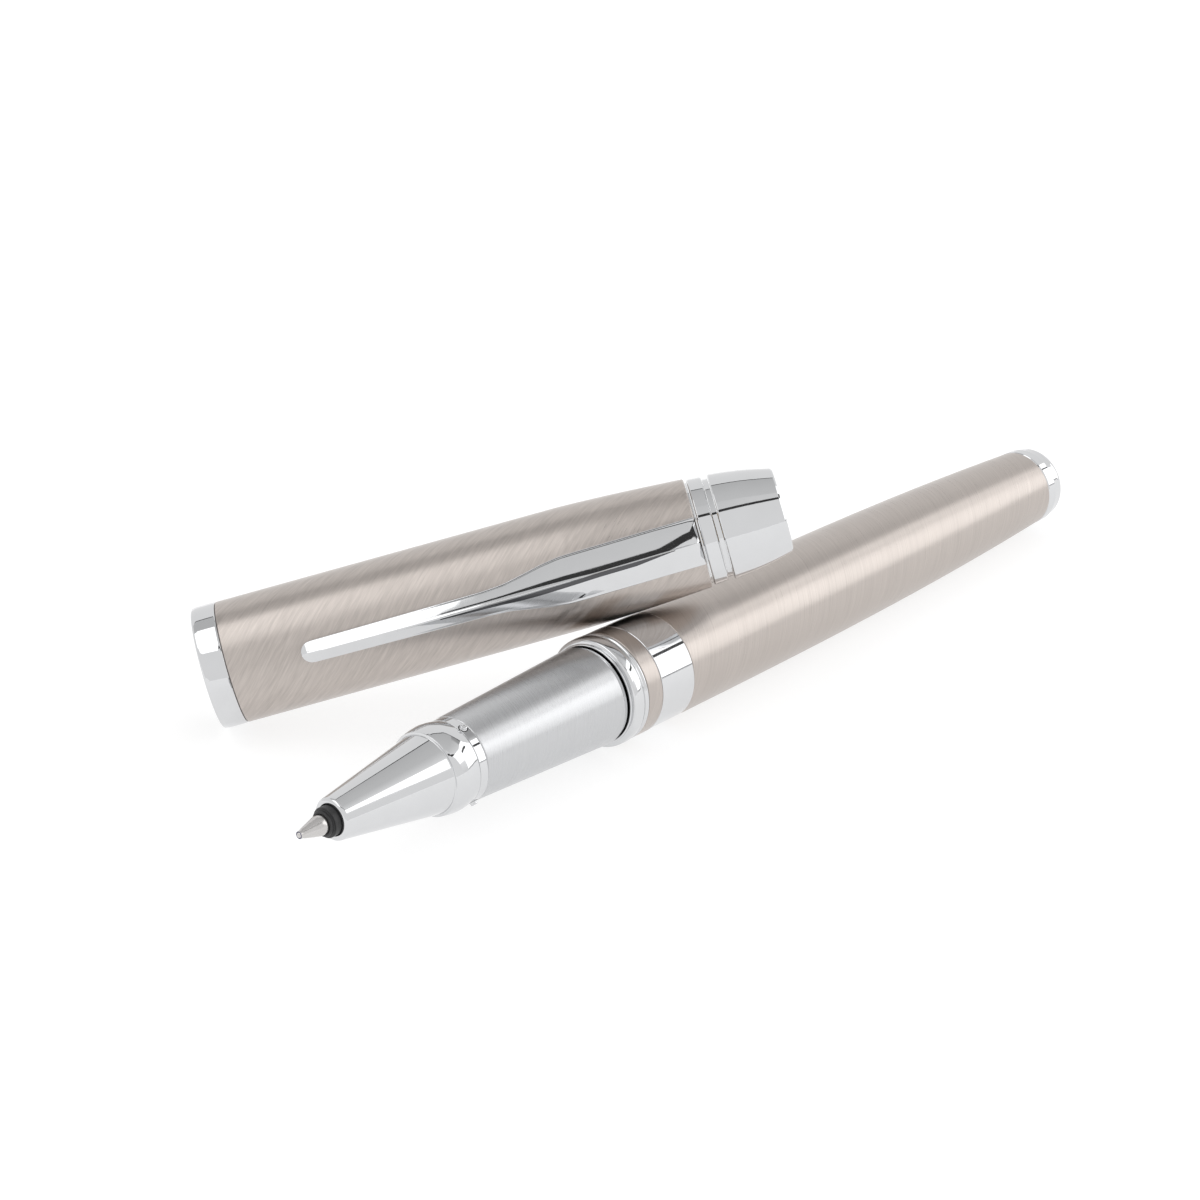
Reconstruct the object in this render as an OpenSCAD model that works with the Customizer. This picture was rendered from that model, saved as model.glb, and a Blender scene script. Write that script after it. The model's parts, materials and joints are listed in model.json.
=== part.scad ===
// A capped rollerball pen with its cap taken off and leant across the barrel.
// The pen lies along X with its writing tip towards -X, and the table is the plane z = 0.
// Every piece is drawn in the local frame of the pen or of the cap, whose axis is +Z:
// the pen's starts at the writing ball, and the cap's starts at its open mouth.
// The origin is the centre of the footprint of the whole object, on the table.

/* [Refill] */
// Diameter of the writing ball
ball_d = 0.7; // [0.5:0.1:1]
// Length of the bare metal cone in front of the black collar
tip_cone_l = 3.3; // [2.8:0.1:3.6]
// Diameter of the bare metal cone where it meets the collar
tip_cone_d = 2.1; // [1.8:0.1:2.4]
// Diameter of the refill's ink tube
refill_d = 6; // [5.6:0.1:6]
// Length of the whole refill, from the ball to its rear plug
refill_l = 111; // [108:0.5:111.5]

/* [Section] */
// Distance from the ball back to the rim of the nose
nose_start = 4.5; // [4.2:0.1:4.8]
// Length of the straight part of the nose cone
nose_cone_l = 13.4; // [12.5:0.1:14]
// Diameter of the nose at its rim
nose_rim_d = 4.1; // [4:0.1:4.6]
// Diameter of the nose cone in front of its bead
nose_rear_d = 8.55; // [8.2:0.05:9]
// Length of the bulged bead behind the cone
nose_bead_l = 3.4; // [2.8:0.1:4]
// Diameter of the bulged bead
nose_bead_d = 9.6; // [9.2:0.1:9.8]
// Length of the ring that holds the cap's snap nubs
snap_ring_l = 1.1; // [1:0.1:1.6]
// Number of snap nubs
nub_count = 3; // [2:1:4]
// Length of the metal grip sleeve
grip_l = 20.5; // [18:0.5:22]
// Diameter of the grip at its front
grip_front_d = 9.22; // [9:0.02:9.6]
// Diameter of the grip at its rear
grip_rear_d = 10.88; // [10.4:0.02:11]

/* [Section thread] */
// Axial distance for one turn of the thread
thread_pitch = 0.75; // [0.5:0.05:1]
// Turns that free the section from the barrel
thread_turns = 6; // [4:1:6]
// Diameter of the section's male thread
thread_d = 8.84; // [8.6:0.02:8.88]

/* [Barrel] */
// Length of the moulded chrome ring at the front of the barrel
front_ring_l = 2.45; // [2.2:0.05:3]
// Diameter of the chrome ring over its bead
front_ring_d = 12.12; // [12:0.02:12.16]
// Length of the narrow satin band
narrow_band_l = 2.15; // [1.8:0.05:2.6]
// Length of the wide chrome band
wide_band_l = 5.05; // [4.5:0.05:6]
// Diameter of the two bands
band_d = 11.92; // [11.8:0.02:12]
// Length of the satin barrel tube
barrel_l = 66.1; // [62:0.1:70]
// Diameter of the barrel tube at its front
barrel_d = 11.86; // [11.6:0.02:11.9]
// Diameter of the barrel tube at its tail
barrel_tail_d = 8.8; // [8.6:0.1:9.4]
// How late the barrel starts to taper, as the power of its curve
taper_power = 2.7; // [2:0.1:3.5]
// Wall of the barrel tube
barrel_wall = 0.45; // [0.35:0.05:0.5]
// Length of the chrome plug that closes the tail
tail_plug_l = 3.4; // [3:0.1:4]

/* [Cap] */
// Length of the satin cap tube from its mouth
cap_tube_l = 53.9; // [52:0.05:56]
// Diameter of the cap tube
cap_d = 13.2; // [13:0.05:13.6]
// Diameter of the cap tube at its top edge
cap_top_d = 11.85; // [11.6:0.05:12.2]
// Distance from the mouth to where the cap tube starts to taper
cap_straight_l = 40; // [36:0.5:44]
// Bore of the cap's mouth
cap_bore_d = 12.24; // [12.22:0.02:12.3]
// Depth of the bore in front of the inner sleeve
cap_bore_l = 5.2; // [5:0.1:5.6]
// Length of the chrome lip ring
lip_l = 2.65; // [2:0.05:4]
// Diameter of the chrome lip ring
lip_d = 13.3; // [13.2:0.02:13.7]
// Bore of the inner sleeve that takes the grip
sleeve_bore_d = 11.04; // [11:0.02:11.1]
// Length of the sleeve's wide bore
sleeve_bore_l = 18.6; // [18:0.1:19]
// Length of the chrome collar over the clip's root
collar_l = 1.6; // [1.4:0.05:2.4]
// Length of the groove ring under the finial
groove_l = 0.55; // [0.5:0.05:0.9]
// Length of the finial
finial_l = 6.8; // [5.5:0.1:7.5]
// Diameter of the finial at its base
finial_d = 11.46; // [11.2:0.02:11.6]
// Diameter of the finial at its flat end
finial_end_d = 9.2; // [8.8:0.1:9.8]

/* [Clip] */
// Width of the clip at its root
clip_root_w = 5.2; // [4.6:0.1:5.6]
// Width of the clip's blade near its tip
clip_tip_w = 2.3; // [2:0.1:2.6]
// Distance from the cap's mouth to the clip's tip
clip_tip_at = 10.7; // [9:0.1:14]
// Thickness of the clip
clip_t = 0.8; // [0.7:0.05:0.9]
// Highest stand-off of the clip's outside from the cap's axis
clip_rise = 8.9; // [8.4:0.1:9.4]

/* [How the cap lies] */
// Turn of the cap's axis from the pen's axis, seen from above
cap_turn = -42.8; // [-50:0.1:-36]
// Tilt of the cap, from its mouth on the table to the barrel under it
cap_tilt = 14.4; // [14.4:0.05:15.5]
// Place of the cap's mouth along the pen, from the writing ball
cap_along = 20.6; // [18:0.1:24]
// Place of the cap's mouth to the side of the pen
cap_aside = 34.3; // [34:0.1:37]
// Turn of the clip round the cap's axis
clip_roll = -107; // [-125:1:-90]

/* [Hidden] */

// Gap between neighbouring pieces at a seam, and radial gap between fixed pieces
seam = 0.05;
slip = 0.02;
// Running clearance of the refill in its bores, and of the clip's tip over the cap
run = 0.08;
clip_gap = 0.06;

// Places along the pen
nose_bead_at = nose_start + nose_cone_l;
snap_ring_at = nose_bead_at + nose_bead_l + seam;
grip_at = snap_ring_at + snap_ring_l + seam;
grip_end = grip_at + grip_l;
washer_t = 0.2;
front_ring_at = grip_end + washer_t + seam;
narrow_band_at = front_ring_at + front_ring_l + seam;
wide_band_at = narrow_band_at + narrow_band_l + seam;
barrel_at = wide_band_at + wide_band_l + seam;
barrel_end = barrel_at + barrel_l;
tail_at = barrel_end + seam;
pen_l = tail_at + tail_plug_l;

// Refill
ball_r = ball_d / 2;
collar_r = 1.62;
collar_step_r = 1.35;
collar_step_l = 0.4;
collar_front_l = 5.4;
collar_cone_l = 4;
refill_r = refill_d / 2;
refill_wall = 0.3;
refill_core_r = refill_r - refill_wall;
refill_tube_at = 16.5;
refill_plug_l = 3;
refill_rim_l = 1;
tip_shank_r = 0.95;
tip_shank_end = 8.6;
ink_bore_r = 0.2;
collar_grip_l = 3;
wick_r = 0.5;
wick_in = 5;

// Section
section_bore_r = refill_r + run;
spigot_r = 3.75;
spigot_l = 4.2;
nose_bore_r = collar_r + run;
nose_step_at = tip_cone_l + collar_step_l + collar_front_l - seam;
snap_ring_r = 4.6;
nub_r = 0.32;
nub_rise = 0.36;
grip_wall = 0.45;
grip_chamfer = 0.35;
neck_r = 3.9;
thread_l = thread_pitch * thread_turns;
o_ring_wire_r = 0.42;
o_ring_at = front_ring_at + 0.65;
thread_at = o_ring_at + o_ring_wire_r + thread_l + 0.5;
liner_end = thread_at + thread_l + 4;
liner_pilot_r = 3.85;

// Barrel
bush_bore_r = thread_d / 2 + run;
bush_mouth_r = 4.85;
bush_mouth_l = 1.9;
bush_r = 5.36;
bush_end = barrel_at + 11;
band_bore_r = bush_r + slip;
tail_bush_l = 4.5;
tail_bush_r = barrel_tail_d / 2 - barrel_wall - seam;
spring_floor = barrel_end - 2;
spring_recess_r = 2.5;
stud_r = 1.5;
spring_r = 1.9;
spring_wire_r = 0.2;
spring_turns = 7;
spring_at = refill_l + spring_wire_r + seam;
spring_l = spring_floor - seam - spring_wire_r - spring_at;
spring_steps = 12;

// Cap
lip_neck_r = lip_d / 2 - 0.32;
cap_wall = 0.3;
inner_cap_r = cap_d / 2 - cap_wall - seam;
inner_cap_at = cap_bore_l + seam;
snap_bore_r = nose_bead_d / 2 + run;
snap_bore_at = inner_cap_at + sleeve_bore_l;
snap_groove_r = snap_bore_r + 0.12;
nose_room_r = 4.6;
nose_room_at = snap_bore_at + 7;
seal_at = 43;
seal_end = 49.4;
inner_cap_end = cap_tube_l - 0.55;
clip_plate_t = 0.16;
clip_plate_r = 5.5;
clip_hinge_r = 6.6;
cap_taper_power = 1.4;
clip_shoulder_l = 14;
clip_root_lift = 0.15;
clip_arch = 1.7;
clip_droop = 0.35;
collar_at = cap_tube_l + clip_plate_t + 2 * seam;
collar_r0 = 5.78;
groove_at = collar_at + collar_l + seam;
groove_r = 5.35;
finial_at = groove_at + groove_l + seam;
cap_l = finial_at + finial_l;
disc_r = 3.75;
disc_t = 0.5;
cap_screw_at = seal_end + 1.1;

// Clip: its flexing blade starts at the top edge of the cap tube
clip_root_at = cap_tube_l - seam;
clip_waist_at = 31;
clip_waist_w = 2.7;
clip_bump_r = 0.95;
clip_bump_at = clip_tip_at + 2.6;
clip_points = 10;

// How the pen and the cap lie on the table: the pen rests on its front ring and its tail
ring_crest_at = front_ring_at + 0.62 * front_ring_l;
tail_crest_at = tail_at + 0.4;
tail_r = barrel_tail_d / 2 + 0.02;
pen_dip = atan((front_ring_d / 2 - tail_r) / (tail_crest_at - ring_crest_at));
pen_z = front_ring_d / 2 * cos(pen_dip) + ring_crest_at * sin(pen_dip);
lip_crest_at = 0.6;
cap_z = lip_d / 2 * cos(cap_tilt) - lip_crest_at * sin(cap_tilt);
cap_far_y = cap_aside + lip_d / 2 * sqrt(1 - pow(cos(cap_tilt) * sin(cap_turn), 2));
cap_near_y = cap_aside + cap_l * cos(cap_tilt) * sin(cap_turn)
    - finial_end_d / 2 * sqrt(1 - pow(cos(cap_tilt) * sin(cap_turn), 2));
centre_x = pen_l * cos(pen_dip) / 2;
centre_y = (cap_far_y + cap_near_y) / 2;

// Colours
satin = [0.74, 0.71, 0.68];
silver = [0.78, 0.78, 0.78];
chrome = [0.88, 0.89, 0.9];
black = [0.06, 0.06, 0.07];
brass = [0.79, 0.66, 0.36];
clear = [0.85, 0.85, 0.83];
steel = [0.7, 0.69, 0.67];

$fn = 96;

// ---- shared shapes ----

module on_pen() {
    translate([-centre_x, -centre_y, pen_z])
        rotate([0, 90 + pen_dip, 0])
            children();
}

module on_cap() {
    translate([cap_along - centre_x, cap_aside - centre_y, cap_z])
        rotate([0, 90 - cap_tilt, cap_turn])
            children();
}

// Solid of revolution from [radius, height] points
module turned(points) {
    rotate_extrude() polygon(points);
}

// Plain ring or tube
module ring(r, bore_r, from, to) {
    turned([[bore_r, from], [r, from], [r, to], [bore_r, to]]);
}

// Points of a round edge about a centre, from angle a0 to a1
function round_edge(r, z, radius, a0, a1, steps = 5) = [
    for (i = [0 : steps])
        let (a = a0 + (a1 - a0) * i / steps)
        [r + radius * cos(a), z + radius * sin(a)]
];

function mix(a, b, t) = a + (b - a) * t;

// Outside radius of the barrel tube at a distance along the pen
function barrel_r(s) =
    (barrel_d - (barrel_d - barrel_tail_d) * pow((s - barrel_at) / barrel_l, taper_power)) / 2;

// Outside radius of the cap tube at a distance from the mouth
function cap_r(c) =
    let (t = max(0, (c - cap_straight_l) / (cap_tube_l - cap_straight_l)))
    (cap_d - (cap_d - cap_top_d) * pow(t, cap_taper_power)) / 2;

// ---- refill ----

module ball() {
    color(steel) on_pen() translate([0, 0, ball_r]) sphere(d = ball_d, $fn = 32);
}

module tip_cone() {
    socket_r = ball_r + 0.02;
    mouth_r = 0.3;
    lip_at = ball_r - sqrt(socket_r * socket_r - mouth_r * mouth_r);
    color(steel) on_pen() difference() {
        turned([
            [0, lip_at], [mouth_r + 0.06, lip_at], [0.5, ball_d], [tip_cone_d / 2, tip_cone_l],
            [tip_cone_d / 2, tip_cone_l + 0.2], [tip_shank_r, tip_cone_l + 0.3],
            [tip_shank_r, tip_shank_end], [0, tip_shank_end],
        ]);
        translate([0, 0, ball_r]) sphere(r = socket_r, $fn = 32);
        translate([0, 0, ball_r]) cylinder(r = ink_bore_r, h = tip_shank_end, $fn = 24);
    }
}

module tip_collar() {
    step_at = tip_cone_l + collar_step_l;
    shoulder_at = step_at + collar_front_l;
    end = refill_tube_at + collar_grip_l;
    bore_r = tip_cone_d / 2 + slip;
    shank_bore_r = tip_shank_r + slip;
    color(black) on_pen() turned([
        [bore_r, tip_cone_l], [collar_step_r, tip_cone_l], [collar_step_r, step_at],
        [collar_r, step_at], [collar_r, shoulder_at],
        [refill_core_r, shoulder_at + collar_cone_l], [refill_core_r, end], [wick_r + slip, end],
        [wick_r + slip, tip_shank_end + 0.1], [shank_bore_r, tip_shank_end + 0.1],
        [shank_bore_r, tip_cone_l + 0.34], [bore_r, tip_cone_l + 0.24],
    ]);
}

module refill_tube() {
    bore_r = refill_core_r + slip;
    end = refill_l - refill_rim_l - seam;
    color(silver) on_pen() turned([
        [bore_r, refill_tube_at], [refill_r - 0.15, refill_tube_at],
        [refill_r, refill_tube_at + 0.5], [refill_r, end], [bore_r, end],
    ]);
}

module feed_wick() {
    color(clear) on_pen()
        ring(wick_r, 0.12, tip_shank_end + 0.2, refill_tube_at + collar_grip_l + wick_in);
}

module ink_reservoir() {
    from = refill_tube_at + collar_grip_l + 0.5;
    to = refill_l - refill_plug_l - 3;
    pocket = from + wick_in;
    color(clear) on_pen() turned([
        [0, pocket], [wick_r + slip, pocket], [wick_r + slip, from],
        [refill_core_r - seam, from], [refill_core_r - seam, to], [0, to],
    ]);
}

module refill_plug() {
    rim_at = refill_l - refill_rim_l;
    plug_r = refill_core_r - slip;
    vent_r = 0.35;
    color(black) on_pen() turned([
        [vent_r, refill_l - refill_plug_l], [plug_r, refill_l - refill_plug_l], [plug_r, rim_at],
        [refill_r, rim_at], [refill_r, refill_l - 0.2], [refill_r - 0.2, refill_l],
        [vent_r, refill_l],
    ]);
}

// ---- section ----

module nose_cone() {
    rim_r = nose_rim_d / 2;
    bead_r = nose_bead_d / 2;
    bead_end = nose_bead_at + nose_bead_l;
    lip = 0.45;
    bead_crest = nose_bead_at + 0.52 * nose_bead_l;
    spigot_at = bead_end - spigot_l;
    cone_at = nose_start + 1.1;
    cone_front_r = mix(rim_r + 0.3, nose_rear_d / 2, 0.05);
    shoulder_r = refill_core_r + 0.15;
    color(chrome) on_pen() turned(concat(
        [[nose_bore_r, nose_start + 0.1]],
        round_edge(rim_r - lip + 0.12, nose_start + lip, lip, -90, 0, 4),
        [
            [cone_front_r, cone_at], [nose_rear_d / 2, nose_bead_at],
            [mix(nose_rear_d / 2, bead_r, 0.55), nose_bead_at + 0.12],
            [mix(nose_rear_d / 2, bead_r, 0.86), mix(nose_bead_at, bead_crest, 0.45)],
            [bead_r, bead_crest],
            [mix(snap_ring_r, bead_r, 0.75), mix(bead_crest, bead_end, 0.6)],
            [snap_ring_r, bead_end], [spigot_r + slip, bead_end], [spigot_r + slip, spigot_at],
            [section_bore_r, spigot_at], [section_bore_r, refill_tube_at - 1.4],
            [shoulder_r, refill_tube_at - 2.4], [shoulder_r, nose_step_at + collar_cone_l],
            [nose_bore_r + 0.1, nose_step_at], [nose_bore_r, nose_step_at],
        ]
    ));
}

module snap_ring() {
    color(chrome) on_pen() {
        ring(snap_ring_r, spigot_r + slip, snap_ring_at, snap_ring_at + snap_ring_l);
        for (i = [0 : nub_count - 1])
            rotate([0, 0, 360 / nub_count * i + 200])
                translate([snap_ring_r - 0.3, 0, snap_ring_at + snap_ring_l / 2])
                    rotate([0, 90, 0])
                        cylinder(r1 = nub_r, r2 = nub_r * 0.6, h = nub_rise + 0.3, $fn = 24);
    }
}

module grip_sleeve() {
    front_r = grip_front_d / 2;
    rear_r = grip_rear_d / 2;
    end = grip_end - seam;
    color(silver) on_pen() turned([
        [front_r - grip_wall, grip_at], [front_r - 0.08, grip_at], [front_r, grip_at + 0.1],
        [rear_r, end - 0.5], [rear_r - 0.08, end - 0.35], [rear_r - grip_chamfer, end],
        [rear_r - grip_chamfer - 0.25, end], [rear_r - grip_wall - 0.15, end - 1],
    ]);
}

module section_liner() {
    front_r = grip_front_d / 2 - grip_wall - slip;
    rear_r = grip_rear_d / 2 - grip_wall - 0.15 - slip;
    flange = grip_end - 1.1;
    spigot_at = nose_bead_at + nose_bead_l - spigot_l + seam;
    color(black) on_pen() turned([
        [section_bore_r, spigot_at], [spigot_r, spigot_at], [spigot_r, grip_at + 0.1],
        [front_r, grip_at + 0.1], [rear_r, flange], [rear_r, grip_end - seam],
        [neck_r, grip_end - seam], [neck_r, thread_at - 0.3],
        [thread_d / 2, thread_at], [thread_d / 2, thread_at + thread_l],
        [liner_pilot_r, thread_at + thread_l + 0.4], [liner_pilot_r, liner_end - 0.3],
        [liner_pilot_r - 0.3, liner_end], [section_bore_r, liner_end],
    ]);
}

module section_washer() {
    color(black) on_pen()
        ring(grip_rear_d / 2 - 0.35, neck_r + seam, grip_end, grip_end + washer_t);
}

module section_o_ring() {
    color(black) on_pen() translate([0, 0, o_ring_at]) rotate_extrude()
        translate([neck_r + seam + o_ring_wire_r, 0]) circle(r = o_ring_wire_r, $fn = 24);
}

// ---- barrel ----

// Thin lip, bevel, rounded bead and thin rear bead
module front_ring() {
    crest_r = front_ring_d / 2;
    end = front_ring_at + front_ring_l;
    bead = 0.62;
    color(chrome) on_pen() turned(concat(
        [
            [band_bore_r, front_ring_at + 0.15], [bush_mouth_r + 0.1, front_ring_at],
            [crest_r - 0.62, front_ring_at], [crest_r - 0.56, front_ring_at + 0.2],
            [crest_r - 0.6, front_ring_at + 0.3], [crest_r - 0.2, front_ring_at + 0.7],
        ],
        round_edge(crest_r - bead, ring_crest_at, bead, -52, 52, 6),
        [
            [crest_r - 0.2, end - 0.36], [crest_r - 0.08, end - 0.26], [crest_r - 0.08, end - 0.1],
            [crest_r - 0.16, end], [band_bore_r, end],
        ]
    ));
}

// Plain band with broken edges
module band(from, length) {
    edge = 0.06;
    to = from + length;
    turned([
        [band_bore_r, from], [band_d / 2 - edge, from], [band_d / 2, from + edge],
        [band_d / 2, to - edge], [band_d / 2 - edge, to], [band_bore_r, to],
    ]);
}

module narrow_band() {
    color(satin) on_pen() band(narrow_band_at, narrow_band_l);
}

module wide_band() {
    color(chrome) on_pen() band(wide_band_at, wide_band_l);
}

module thread_bush() {
    color(brass) on_pen() turned([
        [bush_mouth_r, front_ring_at + 0.2], [bush_r, front_ring_at + 0.2], [bush_r, bush_end],
        [bush_bore_r, bush_end], [bush_bore_r, front_ring_at + bush_mouth_l],
        [bush_mouth_r, front_ring_at + bush_mouth_l - 0.2],
    ]);
}

module barrel_tube() {
    steps = 16;
    edge = 0.06;
    outside = [for (i = [0 : steps]) let (s = barrel_at + barrel_l * i / steps) [barrel_r(s), s]];
    inside = [for (i = [steps : -1 : 0]) outside[i] - [barrel_wall, 0]];
    color(satin) on_pen() turned(concat(
        [[barrel_d / 2 - edge, barrel_at], [barrel_d / 2, barrel_at + edge]],
        [for (i = [1 : steps]) outside[i]],
        inside
    ));
}

module tail_bush() {
    from = barrel_end - tail_bush_l;
    color(black) on_pen() turned([
        [spring_recess_r, from], [tail_bush_r, from], [tail_bush_r, barrel_end - seam],
        [stud_r + slip, barrel_end - seam], [stud_r + slip, spring_floor],
        [spring_recess_r, spring_floor],
    ]);
}

module tail_plug() {
    crown = 1.15;
    end = tail_at + tail_plug_l;
    color(chrome) on_pen() turned(concat(
        [
            [0, spring_floor + 0.1], [stud_r, spring_floor + 0.1], [stud_r, tail_at],
            [tail_r - 0.1, tail_at], [tail_r, tail_at + 0.12], [tail_r, tail_at + 1.2],
            [tail_r - 0.08, tail_at + 1.3],
        ],
        round_edge(tail_r - 0.2 - crown, end - crown - 0.12, crown, 0, 78, 6),
        [[2, end - 0.03], [0, end]]
    ));
}

// Height of the spring's wire after some turns, with closed turns at both ends
function spring_z(turn) =
    let (pitch = 2.15 * spring_wire_r, open = spring_l - 2 * pitch, last = spring_turns - 1)
    turn < 1 ? pitch * turn
    : turn > last ? pitch + open + pitch * (turn - last)
    : pitch + open * (turn - 1) / (last - 1);

function spring_ring(turn, sides = 8) = [
    for (k = [0 : sides - 1])
        let (a = 360 * turn, b = 360 * k / sides, r = spring_r + spring_wire_r * cos(b))
        [r * cos(a), r * sin(a), spring_at + spring_z(turn) + spring_wire_r * sin(b)]
];

module refill_spring() {
    sides = 8;
    last = spring_turns * spring_steps;
    rings = [for (i = [0 : last]) spring_ring(i / spring_steps, sides)];
    points = [for (one = rings) for (p = one) p];
    sheath = [
        for (i = [0 : last - 1]) for (k = [0 : sides - 1])
            let (a = i * sides + k, b = i * sides + (k + 1) % sides)
            [a, a + sides, b + sides, b]
    ];
    ends = [
        [for (k = [0 : sides - 1]) k],
        [for (k = [sides - 1 : -1 : 0]) last * sides + k],
    ];
    color(steel) on_pen() polyhedron(points, concat(sheath, ends));
}

// ---- cap ----

module lip_ring() {
    r = lip_d / 2;
    edge = 0.3;
    color(chrome) on_cap() turned(concat(
        [[lip_neck_r + slip, 0.15], [cap_bore_d / 2 + 0.02, 0.1], [cap_bore_d / 2 + 0.06, 0]],
        round_edge(r - 0.05 - edge, edge, edge, -90, -10, 4),
        [
            [r, lip_crest_at], [r, lip_l - 0.2], [r - 0.08, lip_l],
            [lip_neck_r + slip, lip_l],
        ]
    ));
}

module cap_tube() {
    steps = 10;
    bore_r = cap_bore_d / 2;
    top = [
        for (i = [0 : steps])
            let (c = mix(cap_straight_l, cap_tube_l - 0.12, i / steps)) [cap_r(c), c]
    ];
    under = [for (i = [steps : -1 : 0]) top[i] - [cap_wall, 0]];
    color(satin) on_cap() turned(concat(
        [
            [bore_r, 0.2], [lip_neck_r, 0.2], [lip_neck_r, lip_l + seam],
            [cap_d / 2 - 0.06, lip_l + seam], [cap_d / 2, lip_l + seam + 0.06],
        ],
        top,
        [[cap_top_d / 2 - 0.12, cap_tube_l], [cap_top_d / 2 - cap_wall, cap_tube_l]],
        under,
        [[cap_d / 2 - cap_wall, cap_bore_l], [bore_r, cap_bore_l]]
    ));
}

module inner_cap() {
    bore_r = sleeve_bore_d / 2;
    groove_at = grip_to_cap(snap_ring_at + snap_ring_l / 2);
    screw_r = stud_r + slip;
    color(black) on_cap() turned([
        [bore_r + 0.15, inner_cap_at], [inner_cap_r, inner_cap_at],
        [inner_cap_r, cap_straight_l + 1], [cap_top_d / 2 - cap_wall - 0.1, inner_cap_end],
        [screw_r, inner_cap_end], [screw_r, cap_screw_at - 0.1], [0, cap_screw_at - 0.1],
        [0, seal_end + slip], [nose_room_r, seal_end + slip], [nose_room_r, nose_room_at],
        [snap_bore_r, nose_room_at - 0.4], [snap_bore_r, groove_at + 0.75],
        [snap_groove_r, groove_at + 0.45], [snap_groove_r, groove_at - 0.45],
        [snap_bore_r, groove_at - 0.75], [snap_bore_r, snap_bore_at + 0.5],
        [bore_r, snap_bore_at], [bore_r, inner_cap_at + 0.15],
    ]);
}

// Place in the cap of a point on the pen when the cap is on: its mouth meets the wide band
function grip_to_cap(s) = wide_band_at - seam - s;

module tip_seal() {
    mouth_r = nose_rim_d / 2 + 0.1;
    color(black) on_cap() turned([
        [mouth_r + 0.25, seal_at], [nose_room_r - slip, seal_at], [nose_room_r - slip, seal_end],
        [0, seal_end], [0, seal_end - 0.8], [mouth_r - 0.3, seal_end - 0.8],
        [mouth_r - 0.3, seal_at + 1.6], [mouth_r, seal_at + 1.2], [mouth_r, seal_at + 0.3],
    ]);
}

// Thin plate clamped between the cap tube and the collar, with the tab that the clip flexes on
module clip_root() {
    color(chrome) on_cap() translate([0, 0, cap_tube_l + seam]) rotate([0, 0, clip_roll])
        difference() {
            union() {
                cylinder(r = clip_plate_r, h = clip_plate_t);
                translate([0, -clip_root_w / 2 + 0.2, 0])
                    cube([clip_hinge_r, clip_root_w - 0.4, clip_plate_t]);
            }
            translate([0, 0, -1]) cylinder(r = stud_r + slip, h = clip_plate_t + 2);
        }
}

// Half of the clip's width at a distance from the cap's mouth
function clip_half_w(c) =
    let (t = (c - clip_waist_at) / (clip_root_at - clip_shoulder_l - clip_waist_at))
    t >= 1 ? clip_root_w / 2
    : t >= 0 ? mix(clip_waist_w, clip_root_w, t * t * (3 - 2 * t)) / 2
    : mix(clip_waist_w, clip_tip_w, (clip_waist_at - c) / (clip_waist_at - clip_tip_at)) / 2;

// Distance of the clip's outside from the cap's axis
function clip_top(c) =
    let (t = (clip_root_at - c) / (clip_root_at - clip_tip_at), start = cap_top_d / 2 + clip_t + clip_root_lift)
    mix(start, clip_rise, sin(90 * min(1, clip_arch * t))) - clip_droop * pow(max(0, t - 0.5) * 2, 3);

module clip_blade() {
    tip_r = clip_tip_w / 2;
    top = [
        for (i = [0 : clip_points * 2])
            let (c = mix(clip_tip_at, clip_root_at, i / (clip_points * 2))) [c, clip_top(c)]
    ];
    under = [
        for (i = [clip_points * 2 : -1 : 0])
            let (c = top[i][0]) [c, max(top[i][1] - clip_t, cap_r(c) + clip_gap)]
    ];
    side = [
        for (i = [0 : clip_points * 2])
            let (c = mix(clip_tip_at + tip_r, clip_root_at, i / (clip_points * 2)))
            [c, clip_half_w(c)]
    ];
    bump_z = cap_r(clip_bump_at) + clip_gap + clip_bump_r;
    color(chrome) on_cap() rotate([0, 0, clip_roll]) intersection() {
        // side view, drawn as [distance from the axis, distance from the mouth]
        rotate([90, 0, 0]) linear_extrude(clip_root_w + 1, center = true) union() {
            polygon([for (p = concat(top, under)) [p[1], p[0]]]);
            translate([bump_z, clip_bump_at]) circle(r = clip_bump_r, $fn = 48);
        }
        // front view
        rotate([90, 0, 90]) linear_extrude(clip_rise + 4) union() {
            polygon(concat(
                [for (p = side) [p[1], p[0]]],
                [for (i = [clip_points * 2 : -1 : 0]) [-side[i][1], side[i][0]]]
            ));
            translate([0, clip_tip_at + tip_r]) circle(r = tip_r, $fn = 48);
        }
    }
}

module clip_collar() {
    r1 = collar_r0 - 0.1;
    end = collar_at + collar_l;
    color(chrome) on_cap() turned([
        [stud_r + slip, collar_at], [collar_r0 - 0.12, collar_at], [collar_r0, collar_at + 0.15],
        [r1, end - 0.12], [r1 - 0.12, end], [stud_r + slip, end],
    ]);
}

module groove_ring() {
    color(chrome) on_cap() ring(groove_r, stud_r + slip, groove_at, groove_at + groove_l);
}

module finial() {
    steps = 6;
    base_r = finial_d / 2;
    end_r = finial_end_d / 2;
    rim = 0.3;
    belly = 0.15;
    outside = [
        for (i = [0 : steps])
            let (t = i / steps)
            [mix(base_r, end_r, t) + belly * sin(180 * t), finial_at + 0.12 + (finial_l - 0.3) * t]
    ];
    color(chrome) on_cap() turned(concat(
        [[stud_r + slip, finial_at], [base_r - 0.12, finial_at]],
        outside,
        [
            [end_r - 0.15, cap_l], [disc_r + rim, cap_l], [disc_r + 0.05, cap_l - 0.1],
            [disc_r + slip, cap_l - disc_t], [stud_r + slip, cap_l - disc_t],
        ]
    ));
}

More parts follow.
